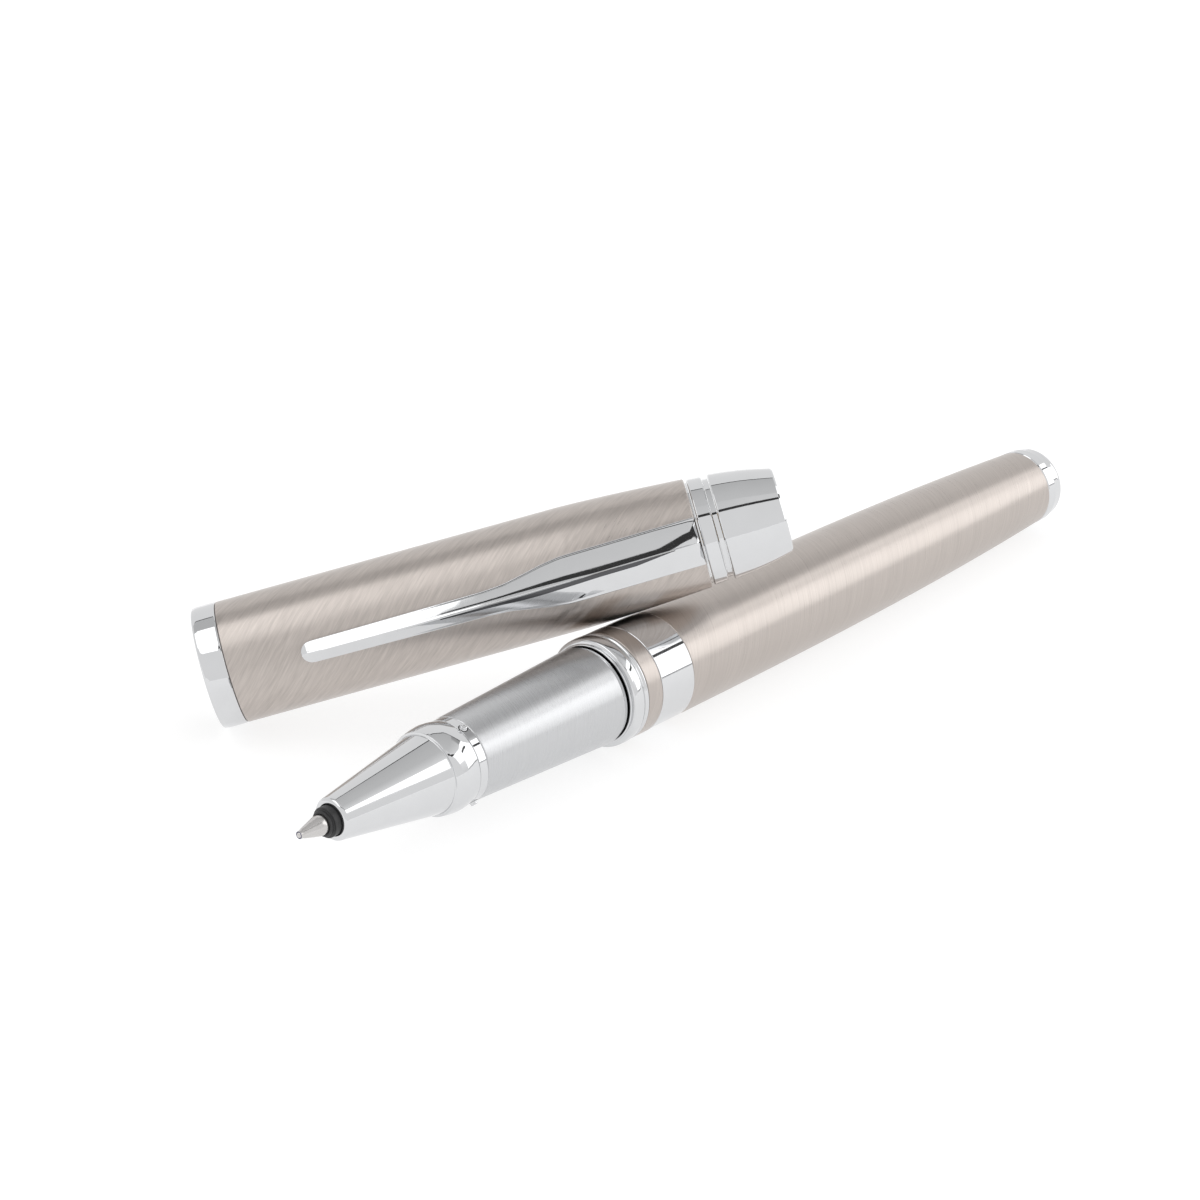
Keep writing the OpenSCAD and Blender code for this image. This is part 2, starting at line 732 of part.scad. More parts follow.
module finial_disc() {
    color(chrome) on_cap() turned([
        [0, cap_l - disc_t + slip], [disc_r, cap_l - disc_t + slip], [disc_r, cap_l - 0.16],
        [disc_r - 0.1, cap_l - 0.08], [0, cap_l - 0.08],
    ]);
}

module cap_screw() {
    color(brass) on_cap() translate([0, 0, cap_screw_at])
        cylinder(r = stud_r, h = cap_l - disc_t - cap_screw_at);
}

ball();
tip_cone();
tip_collar();
refill_tube();
feed_wick();
ink_reservoir();
refill_plug();
nose_cone();
snap_ring();
grip_sleeve();
section_liner();
section_washer();
section_o_ring();
front_ring();
narrow_band();
wide_band();
thread_bush();
barrel_tube();
tail_bush();
tail_plug();
refill_spring();
lip_ring();
cap_tube();
inner_cap();
tip_seal();
clip_root();
clip_blade();
clip_collar();
groove_ring();
finial();
finial_disc();
cap_screw();
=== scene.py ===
"""Looks of a rollerball pen with its cap off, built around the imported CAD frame.

Sizes are in millimetres, in the local frame of the pen or of the cap: +Z runs along the axis, from the
writing ball to the tail, or from the cap's mouth to its finial. Blender's own units are metres.
"""

import json
import math

import bpy
from mathutils import Matrix, Vector
from mathutils.bvhtree import BVHTree


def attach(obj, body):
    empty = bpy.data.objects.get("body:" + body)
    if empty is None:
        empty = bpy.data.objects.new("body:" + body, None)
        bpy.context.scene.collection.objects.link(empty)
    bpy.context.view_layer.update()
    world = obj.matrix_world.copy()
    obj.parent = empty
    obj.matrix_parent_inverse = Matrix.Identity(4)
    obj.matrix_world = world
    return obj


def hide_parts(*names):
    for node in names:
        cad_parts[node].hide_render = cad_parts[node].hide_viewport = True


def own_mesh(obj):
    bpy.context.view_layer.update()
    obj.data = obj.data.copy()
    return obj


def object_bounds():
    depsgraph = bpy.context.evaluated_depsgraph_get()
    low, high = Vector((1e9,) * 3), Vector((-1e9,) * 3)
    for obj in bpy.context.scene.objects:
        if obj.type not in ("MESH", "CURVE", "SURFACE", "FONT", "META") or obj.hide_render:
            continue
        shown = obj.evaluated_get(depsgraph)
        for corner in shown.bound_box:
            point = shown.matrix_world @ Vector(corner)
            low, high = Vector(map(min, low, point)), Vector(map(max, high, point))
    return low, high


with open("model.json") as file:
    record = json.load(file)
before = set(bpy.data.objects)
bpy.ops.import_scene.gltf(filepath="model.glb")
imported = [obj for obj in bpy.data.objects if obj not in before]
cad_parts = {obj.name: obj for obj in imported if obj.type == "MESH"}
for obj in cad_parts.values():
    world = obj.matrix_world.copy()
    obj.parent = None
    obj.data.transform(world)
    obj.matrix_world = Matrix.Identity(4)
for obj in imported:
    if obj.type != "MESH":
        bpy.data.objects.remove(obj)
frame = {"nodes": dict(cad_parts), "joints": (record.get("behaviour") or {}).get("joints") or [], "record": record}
size_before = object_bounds()

MM = 0.001
SEGMENTS = 192
record = frame["record"]
node_slot = {part["node"]: part["material_slot"] for part in record["subparts"]}
node_body = {n: body for body, nodes in record["behaviour"]["bodies"].items() for n in nodes}


def joint(name):
    return next(j for j in frame["joints"] if j["name"] == name)


def mount(name):
    return next(m for m in record["mounts"] if m["name"] == name)


# ---------------------------------------------------------------- local frames


class Axis:
    """A local frame in the row frame: +Z along a line, +X towards one side of it, in millimetres."""

    def __init__(self, origin, direction, side):
        self.matrix = self.facing(origin, direction, side)
        self.inverse = self.matrix.inverted()
        # the same line with +X as far up as it goes, so that the boxes round its pieces are tight
        self.level = self.facing(origin, direction, (0, 0, 1))

    @staticmethod
    def facing(origin, direction, side):
        z = Vector(direction).normalized()
        x = (Vector(side) - Vector(side).project(z)).normalized()
        return Matrix.Translation(origin) @ Matrix((x, z.cross(x), z)).transposed().to_4x4()

    def points(self, node):
        """The vertices of a CAD node in this frame."""
        return [self.inverse @ v.co / MM for v in frame["nodes"][node].data.vertices]

    def solid(self, node):
        """A CAD node in this frame, ready for rays to be cast at it."""
        faces = [tuple(f.vertices) for f in frame["nodes"][node].data.polygons]
        return BVHTree.FromPolygons([tuple(p) for p in self.points(node)], faces)


def off_axis(p):
    """How far a local point is from its axis."""
    return math.hypot(p.x, p.y)


def z_range(points):
    return min(p.z for p in points), max(p.z for p in points)


ball_at = Vector(joint("ball_roll")["pos_m"])
pen_way = -Vector(joint("section_pull")["axis"])
pen = Axis(ball_at, pen_way, (0, 0, 1))

cap_way = -Vector(mount("cap_mouth")["axis"])
mouth_depth = mount("cap_mouth")["dims"]["length_mm"]
mouth_at = Vector(mount("cap_mouth")["pos_m"]) - cap_way * mouth_depth * MM / 2
cap = Axis(mouth_at, cap_way, Vector(joint("clip_flex")["pos_m"]) - mouth_at)


# ---------------------------------------------------------------- profiles

ARC_SHARE = 0.4  # how much of a stretch the arc at one of its ends can take up
ON_AXIS = 1e-6  # a radius below this is on the axis


def profile_of(node, axis, tolerance=0.004):
    """The (radius, height) loop that a turned CAD node was made from, read back from its mesh."""
    rings, ring_of = [], []
    for p in axis.points(node):
        here = (off_axis(p), p.z)
        found = next((i for i, r in enumerate(rings) if math.dist(r, here) < tolerance), None)
        if found is None:
            found = len(rings)
            rings.append(here)
        ring_of.append(found)
    next_to = {i: set() for i in range(len(rings))}
    for edge in frame["nodes"][node].data.edges:
        a, b = (ring_of[v] for v in edge.vertices)
        if a != b:
            next_to[a].add(b)
            next_to[b].add(a)
    ends = [i for i, others in next_to.items() if len(others) == 1]
    start = min(ends or next_to, key=lambda i: rings[i][1])
    # an open loop is closed over the axis, and a closed one is walked outside first
    walk = [start, max(next_to[start], key=lambda i: (rings[i][0], rings[i][1]))]
    while True:
        onward = [i for i in next_to[walk[-1]] if i not in walk[-3:] and i not in walk]
        if not onward:
            break
        walk.append(onward[0])
    loop = [(0.0, z) if r <= tolerance else (r, z) for r, z in (rings[i] for i in walk)]
    if ends:
        loop = [(0.0, loop[0][1])] * (loop[0][0] > tolerance) + loop
        loop += [(0.0, loop[-1][1])] * (loop[-1][0] > tolerance)
    return loop, bool(ends)


def turn_angle(a, b, c):
    before, after = Vector(b) - Vector(a), Vector(c) - Vector(b)
    return before.angle(after, 0.0)


def arc_corner(a, b, c, radius, steps=6):
    """The corner b between a and c as an arc of about that radius."""
    before, after = (Vector(a) - Vector(b)), (Vector(c) - Vector(b))
    half = before.angle(after) / 2
    reach = min(radius / math.tan(half), ARC_SHARE * before.length, ARC_SHARE * after.length)
    radius = reach * math.tan(half)
    start, end = Vector(b) + before.normalized() * reach, Vector(b) + after.normalized() * reach
    centre = Vector(b) + (before.normalized() + after.normalized()).normalized() * (radius / math.sin(half))
    points = []
    for i in range(steps + 1):
        towards = (start - centre).lerp(end - centre, i / steps)
        points.append(tuple(centre + towards.normalized() * radius))
    return points


def refine(loop, open_ended, fillet=0.05, corner=math.radians(22), steps=8):
    """The loop with its sharp corners broken by arcs and its gentle stretches made into smooth curves."""
    count = len(loop)
    straight = math.radians(0.4)
    tangents, sharp = [], []
    for i, b in enumerate(loop):
        if open_ended and i in (0, count - 1):
            tangents.append(None)
            sharp.append(True)
            continue
        a, c = loop[i - 1], loop[(i + 1) % count]
        sharp.append(turn_angle(a, b, c) > corner)
        # the longer neighbour leads, so that a straight stretch stays straight
        tangents.append(((Vector(b) - Vector(a)) + (Vector(c) - Vector(b))).normalized())
    out = []
    for i, b in enumerate(loop):
        after = (i + 1) % count
        if sharp[i] and not (open_ended and i in (0, count - 1)):
            out += arc_corner(loop[i - 1], b, loop[after], fillet)
        else:
            out.append(b)
        if open_ended and i == count - 1:
            break
        c = loop[after]
        way = Vector(c) - Vector(b)
        m0 = way.normalized() if sharp[i] else tangents[i]
        m1 = way.normalized() if sharp[after] else tangents[after]
        if max(m0.angle(way, 0), m1.angle(way, 0)) < straight or (sharp[i] and sharp[after]):
            continue
        # a Hermite curve, which starts and ends just clear of the arc at a sharp corner
        first, final = (0.42 if sharp[i] else 0), (0.58 if sharp[after] else 1)
        for k in range(1, steps):
            t = first + (final - first) * k / steps
            h = (2 * t**3 - 3 * t**2 + 1, t**3 - 2 * t**2 + t, -2 * t**3 + 3 * t**2, t**3 - t**2)
            p = h[0] * Vector(b) + h[1] * m0 * way.length + h[2] * Vector(c) + h[3] * m1 * way.length
            out.append(tuple(p))
    return out


def curve_through(points, steps=5):
    """A smooth curve through these (radius, height) points."""
    out = []
    ends = [points[0]] + points + [points[-1]]
    for a, b, c, d in zip(ends, ends[1:], ends[2:], ends[3:]):
        a, b, c, d = (Vector(p) for p in (a, b, c, d))
        for k in range(steps):
            t = k / steps
            bend = (c - a) * t + (2 * a - 5 * b + 4 * c - d) * t**2 + (3 * b - a - 3 * c + d) * t**3
            out.append(tuple(b + bend / 2))
    return out + [points[-1]]


def runs_outward(loop):
    """Whether a loop is walked so that its outside is on the right."""
    return sum(a[0] * b[1] - b[0] * a[1] for a, b in zip(loop, loop[1:] + loop[:1])) > 0


def profile_normals(loop, open_ended):
    """Outward normals of a loop, each led by its longer neighbour, so that flat faces reflect flat."""
    side = 1 if runs_outward(loop) else -1
    normals = []
    for i, b in enumerate(loop):
        along = Vector((0, 0))
        if not (open_ended and i == 0):
            along += Vector(b) - Vector(loop[i - 1])
        if not (open_ended and i == len(loop) - 1):
            along += Vector(loop[(i + 1) % len(loop)]) - Vector(b)
        along.normalize()
        n = Vector((along.y, -along.x)) * side
        if b[0] < ON_AXIS:
            n = Vector((0, math.copysign(1, n.y)))
        normals.append(n)
    return normals


# ---------------------------------------------------------------- meshes


def new_piece(name, points, faces, axis, materials, normals=None, slots=None):
    """A mesh object whose own frame is the level frame of an axis.

    Its points, in millimetres, and its normals are given in the local frame of that axis.
    """
    mesh = bpy.data.meshes.new(name)
    roll = axis.level.inverted() @ axis.matrix
    mesh.from_pydata([roll @ (Vector(p) * MM) for p in points], [], faces)
    for m in materials:
        mesh.materials.append(m)
    if slots:
        mesh.polygons.foreach_set("material_index", slots)
    mesh.polygons.foreach_set("use_smooth", [True] * len(faces))
    mesh.update()
    if normals:
        mesh.normals_split_custom_set_from_vertices([roll.to_3x3() @ Vector(n) for n in normals])
    piece = bpy.data.objects.new(name, mesh)
    piece.matrix_world = axis.level
    bpy.context.scene.collection.objects.link(piece)
    return piece


def lathe(name, loop, axis, materials, open_ended=False, slot_at=None, segments=SEGMENTS, cut=None):
    """A solid of revolution from a (radius, height) loop, with exact normals.

    slot_at(height) gives the material slot of a face. cut(radius, height, angle) gives the radius of a
    surface that isn't quite round, such as a thread's, and its normals then come from its faces.
    """
    outward = runs_outward(loop)
    points, normals, rows = [], [], []
    for (r, z), n in zip(loop, profile_normals(loop, open_ended)):
        if r < ON_AXIS:
            rows.append([len(points)] * segments)
            points.append((0, 0, z))
            normals.append((0, 0, n.y))
            continue
        rows.append(list(range(len(points), len(points) + segments)))
        for k in range(segments):
            # the first vertex is away from +X: underneath on the pen, and opposite the clip on the cap
            a = math.pi + math.tau * k / segments
            reach = cut(r, z, a) if cut else r
            points.append((reach * math.cos(a), reach * math.sin(a), z))
            normals.append((n.x * math.cos(a), n.x * math.sin(a), n.y))
    faces, slots = [], []
    pairs = list(zip(rows, rows[1:])) + ([] if open_ended else [(rows[-1], rows[0])])
    for i, (low, high) in enumerate(pairs):
        middle = (loop[i][1] + loop[(i + 1) % len(loop)][1]) / 2
        for k in range(segments):
            m = (k + 1) % segments
            ring = [low[k], low[m], high[m], high[k]]
            face = [v for j, v in enumerate(ring) if v != ring[j - 1]]
            if len(face) < 3:
                continue
            faces.append(face if outward else face[::-1])
            slots.append(slot_at(middle) if slot_at else 0)
    if cut:
        piece = new_piece(name, points, faces, axis, materials, None, slots)
        piece.data.set_sharp_from_angle(angle=math.radians(40))
        return piece
    return new_piece(name, points, faces, axis, materials, normals, slots)


def sweep(rings):
    """The points and faces of a closed tube through rings of the same number of points.

    The last two faces are its two ends.
    """
    sides = len(rings[0])
    points = [p for ring in rings for p in ring]
    faces = []
    for i in range(len(rings) - 1):
        for k in range(sides):
            m = (k + 1) % sides
            faces.append((i * sides + k, i * sides + m, (i + 1) * sides + m, (i + 1) * sides + k))
    faces.append(tuple(range(sides))[::-1])
    faces.append(tuple(range(len(points) - sides, len(points))))
    return points, faces


def stand_for(piece, *nodes):
    """The piece takes the place and the body of these CAD nodes."""
    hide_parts(*nodes)
    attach(piece, node_body[nodes[0]])
    return piece


def turned(node, axis, *materials, fillet=0.05, slot_at=None, reshape=None):
    """A finely turned piece with broken edges in place of a turned CAD node."""
    loop, open_ended = profile_of(node, axis)
    loop = refine(loop, open_ended, fillet)
    if reshape:
        loop = reshape(loop)
    return stand_for(lathe(node + "_turned", loop, axis, materials, open_ended, slot_at), node)


# ---------------------------------------------------------------- materials

NOISE_RANGE = (0.3, 0.7)  # where nearly all values of a noise texture lie


class Finish:
    """A node material round one Principled shader, with helpers for its textures."""

    def __init__(self, name, **sockets):
        self.material = bpy.data.materials.new(name)
        self.material.use_nodes = True
        self.tree = self.material.node_tree
        self.shader = self.tree.nodes["Principled BSDF"]
        for socket, value in sockets.items():
            self.shader.inputs[socket.replace("_", " ")].default_value = value

    def node(self, kind, inputs=None, **settings):
        made = self.tree.nodes.new("ShaderNode" + kind)
        for key, value in settings.items():
            setattr(made, key, value)
        for key, value in (inputs or {}).items():
            self.feed(value, made.inputs[key])
        return made

    def feed(self, value, socket):
        if isinstance(value, bpy.types.NodeSocket):
            self.tree.links.new(value, socket)
        else:
            socket.default_value = value

    def place(self):
        """Object coordinates: metres in the piece's own frame."""
        return self.node("TexCoord").outputs["Object"]

    def scaled(self, vector, x, y, z):
        """The vector times a count of features per metre along each axis."""
        return self.node("VectorMath", {0: vector, 1: (x, y, z)}, operation="MULTIPLY").outputs[0]

    def twisted(self, vector, per_metre):
        """The vector turned about Z in step with its height, so that helices become straight lines."""
        height = self.node("SeparateXYZ", {0: vector}).outputs["Z"]
        angle = self.node("Math", {0: height, 1: per_metre}, operation="MULTIPLY").outputs[0]
        return self.node("VectorRotate", {"Vector": vector, "Angle": angle}, rotation_type="Z_AXIS").outputs[0]

    def noise(self, vector, scale=1.0, detail=2.0):
        return self.node("TexNoise", {"Vector": vector, "Scale": scale, "Detail": detail}).outputs["Fac"]

    def total(self, a, b):
        return self.node("Math", {0: a, 1: b}, operation="ADD").outputs[0]

    def between(self, value, low, high, start=0.0, end=1.0):
        """The value mapped from start..end to low..high."""
        inputs = {"Value": value, "From Min": start, "From Max": end, "To Min": low, "To Max": high}
        return self.node("MapRange", inputs).outputs[0]

    def tint(self, value, dark, light):
        """A colour between dark and light."""
        made = self.node("Mix", data_type="RGBA")
        colours = [s for s in made.inputs if s.type == "RGBA"]
        self.feed(value, made.inputs[0])
        colours[0].default_value, colours[1].default_value = (*dark, 1), (*light, 1)
        return next(s for s in made.outputs if s.type == "RGBA")

    def bump(self, height, strength, distance_mm):
        inputs = {"Height": height, "Strength": strength, "Distance": distance_mm * MM}
        return self.node("Bump", inputs).outputs[0]

    def round_tangent(self):
        """The direction round the piece's axis."""
        return self.node("Tangent", direction_type="RADIAL", axis="Z").outputs[0]

    def set(self, **sockets):
        for socket, value in sockets.items():
            self.feed(value, self.shader.inputs[socket.replace("_", " ")])
        return self


def scaled_colour(colour, factor):
    return tuple(c * factor for c in colour)


def brushed(name, colour, roughness, twist_deg, radius, line=0.1, reach=1.6, grip=0.45, contrast=0.06):
    """Metal brushed along helices.

    twist_deg is their angle from the axis at a surface of that radius, line and reach are the width and the
    length of a brush mark in millimetres, grip is the anisotropy, and contrast is how far the marks differ in
    colour.
    """
    f = Finish(name, Metallic=1.0, Anisotropic=grip, Anisotropic_Rotation=0.25)
    place = f.place()
    fine_count, long_count = 1000 / line, 1000 / reach
    straight = f.twisted(place, math.tan(math.radians(twist_deg)) / (radius * MM))
    lines = f.scaled(straight, fine_count, fine_count, long_count)
    coarse = f.scaled(straight, fine_count / 3.5, fine_count / 3.5, long_count / 2)
    fine, wide = f.noise(lines, detail=3.0), f.noise(coarse, detail=2.0)
    both = f.total(fine, wide)
    clouds = f.noise(place, scale=140.0, detail=3.0)
    dark, light = scaled_colour(colour, 1 - contrast), scaled_colour(colour, 1 + contrast)
    f.set(
        Base_Color=f.tint(f.between(both, 0, 1, 0.7, 1.3), dark, light),
        Roughness=f.total(
            f.between(fine, roughness - 0.04, roughness + 0.05, *NOISE_RANGE),
            f.between(clouds, -0.02, 0.02),
        ),
        Normal=f.bump(both, 0.16, 0.01),
        Tangent=f.round_tangent(),
    )
    return f.material


def polished(name, colour, roughness=0.04):
    """Bright plate with a faint haze and fine handling scratches."""
    f = Finish(name, Metallic=1.0)
    place = f.place()
    haze = f.noise(place, scale=420.0, detail=4.0)
    scratch = f.noise(f.scaled(f.twisted(place, 130.0), 9000, 1600, 260), detail=1.0)
    fine = f.between(scratch, 0, 1, 0.66, 0.78)
    f.set(
        Base_Color=f.tint(haze, scaled_colour(colour, 0.97), scaled_colour(colour, 1.03)),
        Roughness=f.total(
            f.between(haze, roughness * 0.6, roughness * 1.5, *NOISE_RANGE),
            f.between(fine, 0, 0.03),
        ),
        Normal=f.bump(fine, 0.025, 0.002),
    )
    return f.material


def turned_metal(name, colour, roughness, line=0.06):
    """Metal as it comes off the lathe, with fine rings round its axis."""
    f = Finish(name, Metallic=1.0, Anisotropic=0.35)
    place = f.place()
    rings = f.noise(f.scaled(place, 90, 90, 1000 / line), detail=2.0)
    stain = f.noise(place, scale=700.0, detail=3.0)
    f.set(
        Base_Color=f.tint(stain, scaled_colour(colour, 0.88), scaled_colour(colour, 1.06)),
        Roughness=f.between(rings, roughness - 0.05, roughness + 0.08, *NOISE_RANGE),
        Normal=f.bump(rings, 0.4, 0.008),
        Tangent=f.round_tangent(),
    )
    return f.material


def moulded(name, colour, roughness, grain_mm=0.12, depth_mm=0.01, coat=0.0, spread=0.08):
    """Moulded plastic or rubber with a fine eroded grain and uneven gloss."""
    f = Finish(name, Metallic=0.0, Coat_Weight=coat, Coat_Roughness=0.15)
    place = f.place()
    grain = f.noise(place, scale=1000 / grain_mm, detail=3.0)
    cloud = f.noise(place, scale=300.0, detail=3.0)
    f.set(
        Base_Color=f.tint(cloud, scaled_colour(colour, 0.8), scaled_colour(colour, 1.25)),
        Roughness=f.between(cloud, roughness - spread, roughness + spread, *NOISE_RANGE),
        Normal=f.bump(grain, 0.5, depth_mm),
    )
    return f.material


def fibrous(name, colour):
    """Bonded fibre, drawn lengthwise."""
    f = Finish(name, Roughness=0.9)
    strands = f.noise(f.scaled(f.place(), 9000, 9000, 150), detail=3.0)
    f.set(
        Base_Color=f.tint(strands, scaled_colour(colour, 0.6), scaled_colour(colour, 1.6)),
        Normal=f.bump(strands, 0.8, 0.05),
    )
    return f.material


CHAMPAGNE = (0.50, 0.455, 0.425)
SILVER = (0.56, 0.565, 0.575)
CHROME = (0.66, 0.665, 0.675)
STEEL = (0.60, 0.585, 0.575)

cap_satin = brushed(
    "cap_satin", CHAMPAGNE, 0.32, twist_deg=48, radius=6.6, line=0.12, reach=1.1, grip=0.3, contrast=0.12
)
barrel_satin = brushed(
    "barrel_satin", CHAMPAGNE, 0.31, twist_deg=72, radius=5.9, line=0.11, reach=1.5, contrast=0.09
)
grip_satin = brushed("grip_satin", SILVER, 0.29, twist_deg=78, radius=5.0, line=0.10, reach=1.4, contrast=0.04)
chrome = polished("chrome_plate", CHROME)
wet_ink = moulded("wet_ink", (0.02, 0.02, 0.09), 0.2, coat=1.0)
# a dark plate that paints the shade beside the clip's spine
painted_shade_plate = polished("painted_shade_chrome", (0.10, 0.10, 0.105), roughness=0.16)
steel = turned_metal("tip_steel", STEEL, 0.2)
spring_wire = turned_metal("spring_wire", STEEL, 0.3, line=0.2)
brass = turned_metal("turned_brass", (0.68, 0.47, 0.19), 0.24)
black = moulded("black_plastic", (0.018, 0.018, 0.019), 0.42)
rubber = moulded("seal_rubber", (0.014, 0.014, 0.014), 0.7, grain_mm=0.2, depth_mm=0.02)
refill_body = moulded("refill_body", (0.42, 0.43, 0.45), 0.3, grain_mm=0.8, depth_mm=0.006, coat=0.4)
fibre = fibrous("ink_fibre", (0.02, 0.02, 0.06))

slot_finish = {
    "satin_metal": barrel_satin,
    "grip_metal": grip_satin,
    "chrome": chrome,
    "black_plastic": black,
    "seal_rubber": rubber,
    "brass": brass,
    "tip_steel": steel,
    "refill_body": refill_body,
    "ink_fibre": fibre,
}
for name, node in frame["nodes"].items():
    node.data.materials.clear()
    node.data.materials.append(slot_finish[node_slot[name]])


# ---------------------------------------------------------------- the pen

ball_r = max(p.length for p in pen.points("ball"))
tip = pen.points("tip_cone")
tip_r = max(off_axis(p) for p in tip)
tip_front, shank_end = z_range(tip)
# the cone's shoulder ends where the thinner shank, under 1 mm in radius, goes on into the refill
tip_back = max(p.z for p in tip if off_axis(p) > 1)
ring_front, ring_back = z_range(pen.points("front_ring"))
grip_end = z_range(pen.points("grip_sleeve"))[1]


def writing_ball():
    angles = [math.pi * i / 32 for i in range(1, 32)]
    circle = [(ball_r * math.sin(a), -ball_r * math.cos(a)) for a in angles]
    loop = [(0.0, -ball_r)] + circle + [(0.0, ball_r)]
    stand_for(lathe("ball_turned", loop, pen, [steel], open_ended=True, segments=64), "ball")


def writing_tip():
    """The bare metal point: a crimped mouth round the ball, a cone and a short shoulder."""
    socket_r, bore_r, shank_r = ball_r + 0.02, 0.2, 0.9 * tip_r
    first, last = math.acos(bore_r / socket_r), math.asin(tip_front / socket_r)
    angles = [first + (last - first) * i / 6 for i in range(7)]
    socket = [(socket_r * math.cos(a), socket_r * math.sin(a)) for a in angles]
    mouth = socket[-1][0]
    outside = [
        (mouth, tip_front),
        (mouth + 0.09, tip_front),
        (ball_r + 0.1, tip_front + 0.38),
        (ball_r + 0.2, tip_front + 0.66),
        (0.94 * tip_r, tip_back - 1.05),
        (tip_r, tip_back - 0.72),
        (tip_r, tip_back),
        (shank_r, tip_back),
        (shank_r, shank_end),
        (bore_r, shank_end),
    ]

    def wet_mouth(z):
        return int(z < tip_front + 0.03)

    loop = refine(outside + socket[:-1], False)
    piece = lathe("writing_tip", loop, pen, [steel, wet_ink], slot_at=wet_mouth, segments=96)
    stand_for(piece, "tip_cone")


writing_ball()
writing_tip()
turned("tip_collar", pen, black, fillet=0.08)


def nose():
    """The nose: a round rim, a straight cone and a bead that stands proud of it."""
    loop, _ = profile_of("nose_cone", pen)
    crest_r, crest_at = max(loop)
    front, back = min(z for r, z in loop), max(z for r, z in loop)
    # the cone ends at the foot of the bead, where the outside first turns steeply outwards
    foot = next(b for b, c in zip(loop, loop[1:]) if b[1] > front + 5 and c[0] - b[0] > c[1] - b[1])
    end_r = next(r for r, z in loop if z > back - 0.01)
    # the rim is an arc of radius rim round a centre at rim_r, which runs on into the cone
    rim, rim_r, steps = 0.45, min(r for r, z in loop if z < front + 0.02) + 0.13, 12
    lean = math.atan2(foot[0] - rim_r - rim, foot[1] - front - rim)
    outside = [loop[0]]
    for i in range(steps + 1):
        a = -math.pi / 2 + (math.pi / 2 - lean) * i / steps
        outside.append((rim_r + rim * math.cos(a), front + rim + rim * math.sin(a)))
    step, rise = (foot[0] + 0.26, foot[1] + 0.06), crest_r - foot[0]
    # the rounding of the step, then the bead up to its crest and down to the snap ring
    bead = [
        (foot[0] + 0.62 * rise, foot[1] + 0.28),
        (foot[0] + 0.8 * rise, foot[1] + 0.75),
        (foot[0] + 0.93 * rise, foot[1] + 1.25),
        (crest_r, crest_at),
        (crest_r - 0.03, crest_at + 0.6),
        (crest_r - 0.1, crest_at + 1.1),
        (end_r, back),
    ]
    outside += arc_corner(outside[-1], foot, step, 0.1) + arc_corner(foot, step, bead[0], 0.08)
    outside += curve_through(bead)
    # inside, from a little ahead of the back end, it is the CAD nose
    inside = [q for q in refine(loop, False) if q[0] < end_r - 0.05 and q not in outside]
    first = next(i for i, q in enumerate(inside) if q[1] > back - 0.4)
    stand_for(lathe("nose_cone_turned", outside + inside[first:], pen, [chrome]), "nose_cone")


nose()


def bulging(loop):
    """The front ring's outside: a thin front lip, a full bulge, a shallow valley and a thin rear bead."""
    crest = max(r for r, z in loop)
    # the bore keeps the CAD corners, which are the last three and the first
    cad, _ = profile_of("front_ring", pen)
    bore = cad[-3:] + cad[:1]
    # how far each point lies below the crest and behind the ring's front
    lip = [(0.66, 0), (0.57, 0.03), (0.53, 0.09), (0.54, 0.16), (0.57, 0.2)]
    bulge = [(0.48, 0.215), (0.34, 0.24), (0.2, 0.29), (0.1, 0.37), (0.05, 0.5), (0.022, 0.7), (0.005, 0.95)]
    bulge += [(0, 1.15), (0.005, 1.35), (0.03, 1.52)]
    valley = [(0.09, 1.66), (0.17, 1.8), (0.22, 1.93), (0.2, 2.04), (0.13, 2.12)]
    bead = [(0.08, 2.2), (0.07, 2.28), (0.09, 2.37), (0.14, 2.43), (0.2, ring_back - ring_front)]
    outside = [(crest - down, ring_front + behind) for down, behind in lip + bulge + valley + bead]
    return curve_through(outside, steps=9) + bore


turned("front_ring", pen, chrome, fillet=0.06, reshape=bulging)
turned("wide_band", pen, chrome)
turned("narrow_band", pen, barrel_satin)
turned("barrel_tube", pen, barrel_satin)
turned("tail_plug", pen, chrome, fillet=0.08)
turned("refill_tube", pen, refill_body, fillet=0.08)
turned("refill_plug", pen, black, fillet=0.08)
turned("tail_bush", pen, black)
turned("section_washer", pen, rubber)
turned("section_o_ring", pen, rubber)
turned("feed_wick", pen, fibre)
turned("ink_reservoir", pen, fibre, fillet=0.1)


def chamfered(loop):
    """The grip's rear edge as a thin bright bead and a narrow polished chamfer."""
    rear = max(r for r, z in loop)
    kept = [(r, z) for r, z in loop if z < grip_end - 0.62 or r < rear - 0.5]
    # how far each point lies below the rear's radius and ahead of the grip's end
    edge = [(0, 0.56), (-0.005, 0.52), (0.02, 0.49), (0.035, 0.47), (0.12, 0.06), (0.15, 0.02), (0.2, 0)]
    edge = [(rear - down, grip_end - ahead) for down, ahead in edge]
    first_inside = next(i for i, (r, z) in enumerate(kept) if r < rear - 0.3 and z > grip_end - 1.5)
    return kept[:first_inside] + edge + kept[first_inside:]


def bright_edge(z):
    return int(z > grip_end - 0.54)


turned("grip_sleeve", pen, grip_satin, chrome, fillet=0.06, slot_at=bright_edge, reshape=chamfered)


def nub_ways(raised, spread=0.5):
    """The angles of the nubs that these raised points belong to. Nubs lie more than spread apart."""

    def apart(p, way):
        return abs(math.remainder(math.atan2(p.y, p.x) - way, math.tau))

    rough = []
    for p in raised:
        if all(apart(p, way) > spread for way in rough):
            rough.append(math.atan2(p.y, p.x))
    groups = [[p for p in raised if apart(p, way) < spread] for way in rough]
    return [math.atan2(sum(p.y for p in group), sum(p.x for p in group)) for group in groups]


